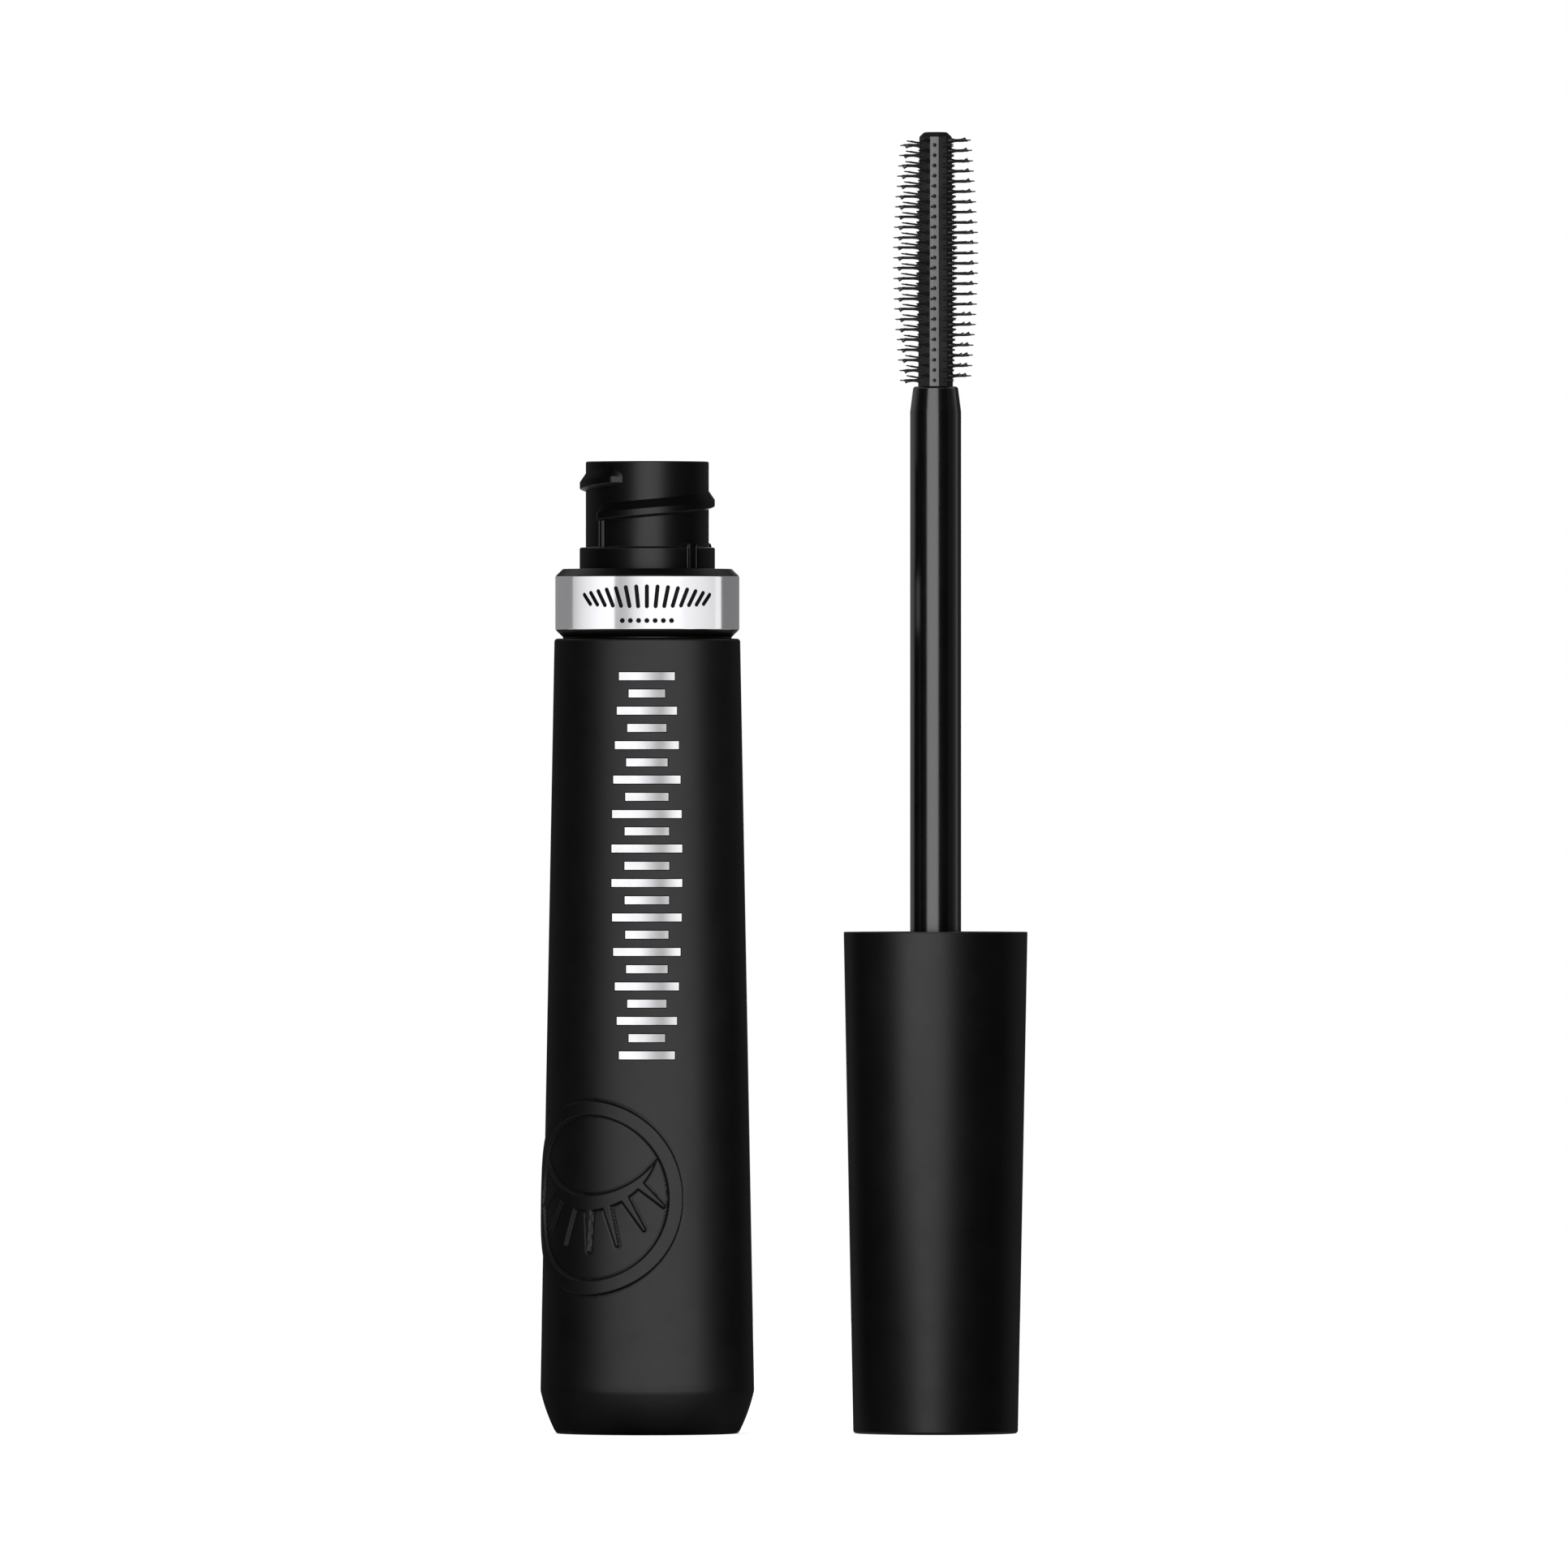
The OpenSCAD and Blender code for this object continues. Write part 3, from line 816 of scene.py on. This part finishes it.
def make_cap():
    floor_r = CAP_END_R + (CAP_RIM_R - CAP_END_R) * CAP_FLOOR / CAP_H - CAP_WALL
    outline = rounded([(0, 0, 0), (CAP_END_R, 0, 0.32), (CAP_RIM_R, CAP_H, 0.12),
                       (CAP_RIM_R - CAP_WALL, CAP_H, 0.2), (floor_r, CAP_FLOOR, 0.6),
                       (0, CAP_FLOOR, 0)])
    dress(revolve("cap_shell", outline, ROUND, CAP_X), satin_cap, "applicator", "satin_cap",
          "applicator", "cap_shell")


def make_liner():
    under = LINER_TOP - LINER_FLANGE_T
    rim_r = LINER_BORE_R + 0.3
    outline = rounded([(STEM_R, LINER_Z, 0.05), (LINER_R, LINER_Z, 0.3), (LINER_R, under, 0.1),
                       (LINER_FLANGE_R, under, 0.1), (LINER_FLANGE_R, LINER_TOP, 0.15),
                       (rim_r, LINER_TOP, 0.2), (rim_r, LINER_TOP - 2.6, 0.05),
                       (LINER_BORE_R, LINER_TOP - 2.75, 0.05),
                       # the bead that holds the gasket
                       (LINER_BORE_R, LINER_FLOOR + 2.0, 0),
                       (LINER_BORE_R - 0.35, LINER_FLOOR + 1.75, 0.1),
                       (LINER_BORE_R, LINER_FLOOR + 1.65, 0),
                       (LINER_BORE_R, LINER_FLOOR, 0.1), (STEM_R, LINER_FLOOR, 0.05)])
    dress(revolve("cap_liner", outline, ROUND, CAP_X), neck_plastic, "applicator",
          "liner_plastic", "applicator", "cap_liner")
    ridge = rounded([(LINER_BORE_R + 0.2, -0.75, 0), (LINER_THREAD_R, -0.25, 0.12),
                     (LINER_THREAD_R, 0.25, 0.12), (LINER_BORE_R + 0.2, 0.75, 0)])
    thread = helix(ridge, THREAD_PITCH, 90, LINER_THREAD_TURN, LINER_FLOOR + 5.45, 7,
                   LINER_BORE_R + 0.05, CAP_X)
    dress(join("liner_thread", [thread]), neck_plastic, "applicator", "liner_plastic",
          "applicator")


def make_seal():
    bore_r = STEM_R + SEAL_BORE_GAP
    ring = rounded([(bore_r, SEAL_Z, 0.1), (SEAL_R, SEAL_Z, 0.15), (SEAL_R, SEAL_TOP, 0.2),
                    (bore_r, SEAL_TOP, 0.15)])
    dress(revolve("cap_seal", ring, ROUND, CAP_X), seal_rubber, "seal", "seal_rubber",
          "applicator", "cap_seal")


def make_stem():
    shoulder = STEM_Z + STEM_FLANGE_T
    outline = rounded([(0, STEM_Z, 0), (STEM_ROOT_R, STEM_Z, 0.2), (STEM_ROOT_R, shoulder, 0.2),
                       (STEM_R, shoulder, 0), (STEM_R, STEM_TOP - STEM_TAPER, 1.2),
                       (STEM_END_R, STEM_TOP, 0.32), (SOCKET_R, STEM_TOP, 0),
                       (SOCKET_R, STEM_TOP - SOCKET_H, 0), (0, STEM_TOP - SOCKET_H, 0)])
    piece = revolve("stem", outline, ROUND, CAP_X)
    dress(piece, stem_plastic, "applicator", "stem_plastic", "stem", "stem")
    piece.visible_glossy = False    # keeps the stem's dark line out of the polished band


# ---- brush -------------------------------------------------------------------------------

ROWS = 12
ROW_COUNT = 24
ROW_TURN = -4.4
RAISED_ROWS = (2, 3, 4, 7, 8, 11)
RAISE = 0.45                    # how far those rows are raised, as a share of the pitch
BRISTLE_PITCH = 1.05
FIRST_Z = 0.6
REACH_MIDDLE = 4.43
REACH_END = 3.7

CORE_R = 1.76
CORE_TIP_R = 1.64
CORE_TIP = 0.5
CORE_CORNER = 0.07              # share of a flat that its softened corner takes

STRAND_SIDES = 8
STRAND_BASE = 1.45              # radius at which a bristle starts, inside the core
STRAND_TAPER = 0.12             # how much thicker it is at its root, as a share
FLARE = 0.13                    # height of the flared root
FLARE_AT = 0.2
FLARE_W = 0.28
BARB_BACK = 0.66                # from the bristle's end back to its barb's top
BARB_W = 0.34                   # length of the barb's long slope
BARB_FALL = 0.14                # length of its steep slope
THIN_W = 0.24                   # length over which the shaft thins past the barb
TIP_HALF = 0.075
BLUNT = 0.1                     # length of the rounded end
UP, DOWN = 90, -90              # directions of a barb, in degrees from the side towards the top


def core_ring(apothem, z):
    """A ring with a flat to each row of bristles and softened corners."""
    half = apothem * math.tan(math.pi / ROWS)
    ring = []
    for k in range(ROWS):
        middle = math.radians(ROW_TURN + k * 360 / ROWS)
        for s in (-1 + CORE_CORNER, 0.0, 1 - CORE_CORNER):
            u = s * half
            ring.append(at(middle + math.atan2(u, apothem), math.hypot(apothem, u), z, CAP_X))
        corner_r = math.hypot(apothem, half) * 0.997
        ring.append(at(middle + math.pi / ROWS, corner_r, z, CAP_X))
    return ring


def peg_ring(z):
    """A round ring with as many points as a ring of the core."""
    return [at(a, SOCKET_R, z, CAP_X) for a in even_angles(4 * ROWS)]


def make_core():
    foot = STEM_TOP - PEG_H
    rings = [[(CAP_X, 0.0, foot)], peg_ring(foot), peg_ring(STEM_TOP - 0.01)]
    length = BRUSH_TOP - STEM_TOP - CORE_TIP
    for t in (0.0, 0.02, 0.25, 0.5, 0.75, 0.98, 1.0):
        rings.append(core_ring(CORE_R + (CORE_TIP_R - CORE_R) * t, STEM_TOP + t * length))
    for r, down in ((1.56, 0.40), (1.22, 0.07), (1.12, 0.01), (1.0, 0.0)):
        rings.append(core_ring(r, BRUSH_TOP - down))
    rings.append([(CAP_X, 0.0, BRUSH_TOP)])
    dress(finish_mesh("brush_core", *skin(rings), 12), brush_plastic, "applicator",
          "brush_plastic", "brush", "brush")


def strand(turn, z, reach, half, barb_turn, barb_h, rise):
    """One moulded bristle: a flared root, a round shaft, a barb near its end and a thin tip."""
    length = reach - STRAND_BASE
    barb = length - BARB_BACK
    stops = (0.0, 0.12, 0.28, 0.5, 0.9, 1.4, barb - 0.5, barb - BARB_W, barb - 0.10, barb,
             barb + BARB_FALL, barb + THIN_W, length - 0.2, length - 0.03)
    rings = []
    for d in stops:
        t = d / length
        if d <= barb:
            flare = FLARE * math.exp(-((d - FLARE_AT) / FLARE_W) ** 2)
            thick = half * (1 + STRAND_TAPER * (1 - t)) + flare
            fin = barb_h * max(0.0, 1 - (barb - d) / BARB_W)
        else:
            thick = TIP_HALF + (half - TIP_HALF) * max(0.0, 1 - (d - barb) / THIN_W)
            fin = barb_h * max(0.0, 1 - (d - barb) / BARB_FALL)
        if d > length - BLUNT:
            thick *= 0.6
        r = STRAND_BASE + d
        ring = []
        for a in even_angles(STRAND_SIDES):
            out = thick + fin * max(0.0, math.cos(a - math.radians(barb_turn))) ** 1.5
            ring.append(at(turn + out * math.cos(a) / r, r, z + out * math.sin(a) + rise * t,
                           CAP_X))
        rings.append(ring)
    return skin(rings, caps=True)


def row_shape(k, i, bulge):
    """What sets bristle i of row k apart: how far its row is turned, in degrees, its half
    thickness, its barb's direction and height, its rise, and how far it is lowered."""
    if k == 0:
        return 0.0, 0.085, 215, 0.04 + 0.22 * bulge, 0.0, 0.0
    if k == 2:
        return 0.0, 0.110, UP, 0.16 if i < 7 else 0.02, 0.03, 0.0
    if k == 3:
        return 0.0, 0.125, UP, 0.20, 0.03, 0.0
    if k in (4, 10):
        return 0.0, 0.110, UP, 0.02, 0.0, 0.0
    if k in (1, 5):
        return 4.2, 0.120, DOWN, 0.12, 0.0, 0.0
    if k == 8:
        return -2.0, 0.092, UP, 0.02, 0.32, 0.28
    if k in (7, 9, 11):
        return 7.0 if k == 11 else 0.0, 0.130, DOWN, 0.20, 0.0, 0.0
    return 0.0, 0.110, UP, 0.16, 0.0, 0.0


def make_bristles():
    parts = []
    for k in range(ROWS):
        raised = RAISE if k in RAISED_ROWS else 0.0
        for i in range(ROW_COUNT):
            bulge = math.sin(math.pi * i / (ROW_COUNT - 1))
            offset, half, barb_turn, barb_h, rise, lower = row_shape(k, i, bulge)
            z = STEM_TOP + FIRST_Z + BRISTLE_PITCH * (i + raised) - lower
            turn = math.radians(ROW_TURN + k * 360 / ROWS + offset) + rng.uniform(-0.008, 0.008)
            rise += rng.uniform(-0.03, 0.03)
            reach = REACH_END + (REACH_MIDDLE - REACH_END) * bulge + rng.uniform(-0.05, 0.03)
            parts.append(strand(turn, z, reach, half, barb_turn, barb_h, rise))
    dress(join("bristles", parts, 60), brush_plastic, "applicator", "brush_plastic", "brush")


# ---- stage -------------------------------------------------------------------------------

WHITE = (1, 1, 1, 1)
ROOM_GLOW = 0.02
FLOOR_HALF = 600.0
FLOOR_Z = -0.02
FLOOR_GLOW = 0.82
SUN_STRENGTH = 1.6
SUN_ANGLE = math.radians(80)


def make_world():
    """White to the camera, and a dim room for everything else, as in a shot with flags."""
    world = bpy.data.worlds.new("room")
    bpy.context.scene.world = world
    world.use_nodes = True
    tree = world.node_tree
    tree.nodes.clear()
    out = tree.nodes.new("ShaderNodeOutputWorld")
    mix = tree.nodes.new("ShaderNodeMixShader")
    path = tree.nodes.new("ShaderNodeLightPath")
    tree.links.new(path.outputs["Is Camera Ray"], mix.inputs["Fac"])
    for socket, strength in ((1, ROOM_GLOW), (2, 1.0)):
        back = tree.nodes.new("ShaderNodeBackground")
        back.inputs["Color"].default_value = WHITE
        back.inputs["Strength"].default_value = strength
        tree.links.new(back.outputs["Background"], mix.inputs[socket])
    tree.links.new(mix.outputs["Shader"], out.inputs["Surface"])


def link_to(light, pieces):
    """Lets a light shine on only some pieces, as a flag does in a studio."""
    group = bpy.data.collections.new(light.name + "_on")
    for piece in pieces:
        group.objects.link(piece)
    light.light_linking.receiver_collection = group


def make_floor():
    """A pale floor that runs into the white behind, lit by its own soft sun."""
    far = FLOOR_HALF
    points = [(x, y, FLOOR_Z) for x, y in ((-far, -far), (far, -far), (far, far), (-far, far))]
    piece = finish_mesh("floor", points, [(0, 1, 2, 3)])
    mat = surface("floor_paper", (grey(0.78), grey(0.82)), (0.75, 0.85), cloud=6.0,
                  Specular_IOR_Level=0.0, Emission_Color=WHITE, Emission_Strength=FLOOR_GLOW)
    piece.data.materials.append(mat)
    piece.visible_glossy = False
    piece.visible_diffuse = False
    piece.visible_shadow = False
    data = bpy.data.lights.new("floor_sun", "SUN")
    data.energy = SUN_STRENGTH
    data.angle = SUN_ANGLE
    sun = bpy.data.objects.new("floor_sun", data)
    sun.location = (0, 0, 1)
    bpy.context.scene.collection.objects.link(sun)
    link_to(sun, [piece])


# ---- lights ------------------------------------------------------------------------------

LIGHT_AWAY = 420.0              # from the axis to a softbox
LIGHT_LOW, LIGHT_HIGH = -150.0, 430.0
NEAR_AWAY, NEAR_HIGH = 70.0, 130.0
PANEL_TURNS = (20, 110, 200, 290)
PANEL_RISE = 46


def area_light(name, width, height, radiance, place, aim, pieces):
    """A rectangle of even radiance at a place, aimed at a point. It lights only some pieces."""
    data = bpy.data.lights.new(name, "AREA")
    data.shape = "RECTANGLE"
    data.size = width * MM
    data.size_y = height * MM
    data.energy = math.pi * radiance * data.size * data.size_y
    light = bpy.data.objects.new(name, data)
    light.location = place * MM
    light.rotation_euler = (aim - place).to_track_quat("-Z", "Y").to_euler()
    light.visible_camera = False
    bpy.context.scene.collection.objects.link(light)
    link_to(light, pieces)
    return data


def grade(data, stops):
    """Grades a light from side to side by stops of (place, share of its radiance)."""
    data.use_nodes = True
    tree = data.node_tree
    shader = tree.nodes["Emission"]
    spot = tree.nodes.new("ShaderNodeNewGeometry")
    split = tree.nodes.new("ShaderNodeSeparateXYZ")
    ramp = tree.nodes.new("ShaderNodeValToRGB")
    while len(ramp.color_ramp.elements) < len(stops):
        ramp.color_ramp.elements.new(0.5)
    for element, (place, share) in zip(ramp.color_ramp.elements, stops):
        element.position = place
        element.color = (share, share, share, 1.0)
    tree.links.new(spot.outputs["Parametric"], split.inputs["Vector"])
    tree.links.new(split.outputs["X"], ramp.inputs["Fac"])
    tree.links.new(ramp.outputs["Color"], shader.inputs["Color"])


def softbox(name, axis_x, left, right, radiance, pieces, stops=(), low=LIGHT_LOW,
            high=LIGHT_HIGH, away=LIGHT_AWAY):
    """A flat upright softbox that spans two directions from an axis, in degrees.

    Stops of (direction, share of the radiance) grade it from side to side."""
    half = math.radians(right - left) / 2
    middle = math.radians(right + left) / 2
    place = Vector(at(middle, away, (low + high) / 2, axis_x))
    data = area_light(name, 2 * away * math.tan(half), high - low, radiance, place,
                      Vector((axis_x, 0, place.z)), pieces)
    if stops:
        grade(data, [(0.5 + 0.5 * math.tan(math.radians(turn) - middle) / math.tan(half), share)
                     for turn, share in stops])


def panel(name, turn, rise, radiance, pieces, half_w=28, half_h=13):
    """A softbox over or under the object. It gives the shapes their highlights in views from
    above. Its direction, its rise and its half sizes are in degrees."""
    aim = Vector((CAP_X / 2, 0, CASE_H / 2))
    up = math.radians(rise)
    away = Vector(at(math.radians(turn), LIGHT_AWAY * math.cos(up), LIGHT_AWAY * math.sin(up)))
    width, height = (2 * LIGHT_AWAY * math.tan(math.radians(half)) for half in (half_w, half_h))
    area_light(name, width, height, radiance, aim + away, aim, pieces)


def make_lights():
    """The photo's parts are lit one by one, so each group of pieces has its own softboxes.

    A wall that faces a direction mirrors the light that stands at twice that direction."""
    case, neck, thread = lit["case"], lit["neck"], lit["thread"]
    cap, stem, brush = lit["applicator"], lit["stem"], lit["brush"]
    band, foils = lit["band"], lit["foil"]

    softbox("case_front", 0, -55, 63, 3.65, case,
            ((-54, 0.58), (-30, 0.86), (-5, 1.0), (62, 1.0)))
    softbox("neck_front", 0, -21, 27, 1.7, neck + thread)
    softbox("edges_front", 0, -80, 80, 1.7, lit["edges"])
    softbox("cap_front", CAP_X, -27, 6, 4.25, cap)
    # near the cap, so that its highlight narrows towards its foot
    softbox("cap_near_left", CAP_X, -43, -24.5, 4.3, cap, low=20.0, high=NEAR_HIGH,
            away=NEAR_AWAY)
    softbox("cap_near_right", CAP_X, 5.5, 14, 4.3, cap, low=18.0, high=NEAR_HIGH,
            away=NEAR_AWAY)
    softbox("cap_right", CAP_X, 105, 140, 0.09, cap)
    softbox("cap_left", CAP_X, -145, -112, 0.10, cap)
    softbox("stem_front", CAP_X, -39, 12, 4.15, stem)
    softbox("stem_right", CAP_X, 58, 118, 0.9, stem,
            ((59, 0.10), (66, 0.11), (84, 0.15), (102, 0.50), (116, 1.0)))
    softbox("stem_left", CAP_X, -165, -86, 0.55, stem,
            ((-163, 0.25), (-140, 0.55), (-118, 1.0), (-97, 0.40), (-88, 0.10)))
    softbox("brush_front", CAP_X, -42, 8, 5.2, brush)
    softbox("brush_right", CAP_X, 35, 70, 0.25, brush)

    # for views that the photo doesn't have
    dark = case + neck + thread + cap + stem + brush
    softbox("rear_side_left", CAP_X / 2, -160, -105, 0.06, dark)
    softbox("rear_side_right", CAP_X / 2, 105, 160, 0.06, dark)
    softbox("rear_middle", CAP_X / 2, 170, 190, 1.0, dark)
    for k, turn in enumerate(PANEL_TURNS):
        panel("low_case_%d" % k, turn, -PANEL_RISE, 0.7, case)
        panel("low_rest_%d" % k, turn, -PANEL_RISE, 0.9, neck + thread + cap + stem)
        panel("high_case_%d" % k, turn, PANEL_RISE, 0.6, case + cap + stem)
        panel("high_neck_%d" % k, turn, PANEL_RISE, 0.45, neck)
        panel("low_metal_%d" % k, turn, -44, 0.8, band + foils, 40, 18)

    # graded all round, because polished metal mirrors every direction
    softbox("band_far_left", 0, -180, -107, 0.27, band)
    softbox("band_left", 0, -107, -41, 1.2, band,
            ((-106, 0.50), (-92, 0.69), (-81, 0.80), (-71, 0.89), (-61, 0.97), (-45, 1.0)))
    softbox("band_middle", 0, -41, 40, 1.2, band,
            ((-40, 0.47), (-34, 0.44), (-26, 0.49), (-18, 0.69), (-10, 0.85), (0, 0.97),
             (6, 1.0)))
    softbox("band_right", 0, 40, 106, 1.2, band,
            ((41, 1.0), (48, 0.90), (57, 0.86), (67, 0.82), (87, 0.72), (99, 0.68)))
    softbox("band_far_right", 0, 95, 180, 0.20, band)
    softbox("foil_front", 0, -75, 75, 1.15, foils,
            ((-74, 1.0), (-10, 1.0), (2, 0.70), (10, 0.45), (17.7, 0.28), (25, 0.62),
             (34, 0.95), (44, 1.0)))


make_camera()
make_case()
make_foil()
make_band_print()
make_collar()
make_bottle()
make_neck_details()
make_wiper()
make_cap()
make_liner()
make_seal()
make_stem()
make_core()
make_bristles()
repaint("base_plug", satin_case, "case")
repaint("shade_label", label_foil, "case")
repaint("formula", paste, "neck")
make_world()
make_floor()
make_lights()
bpy.context.scene.view_settings.view_transform = "Standard"
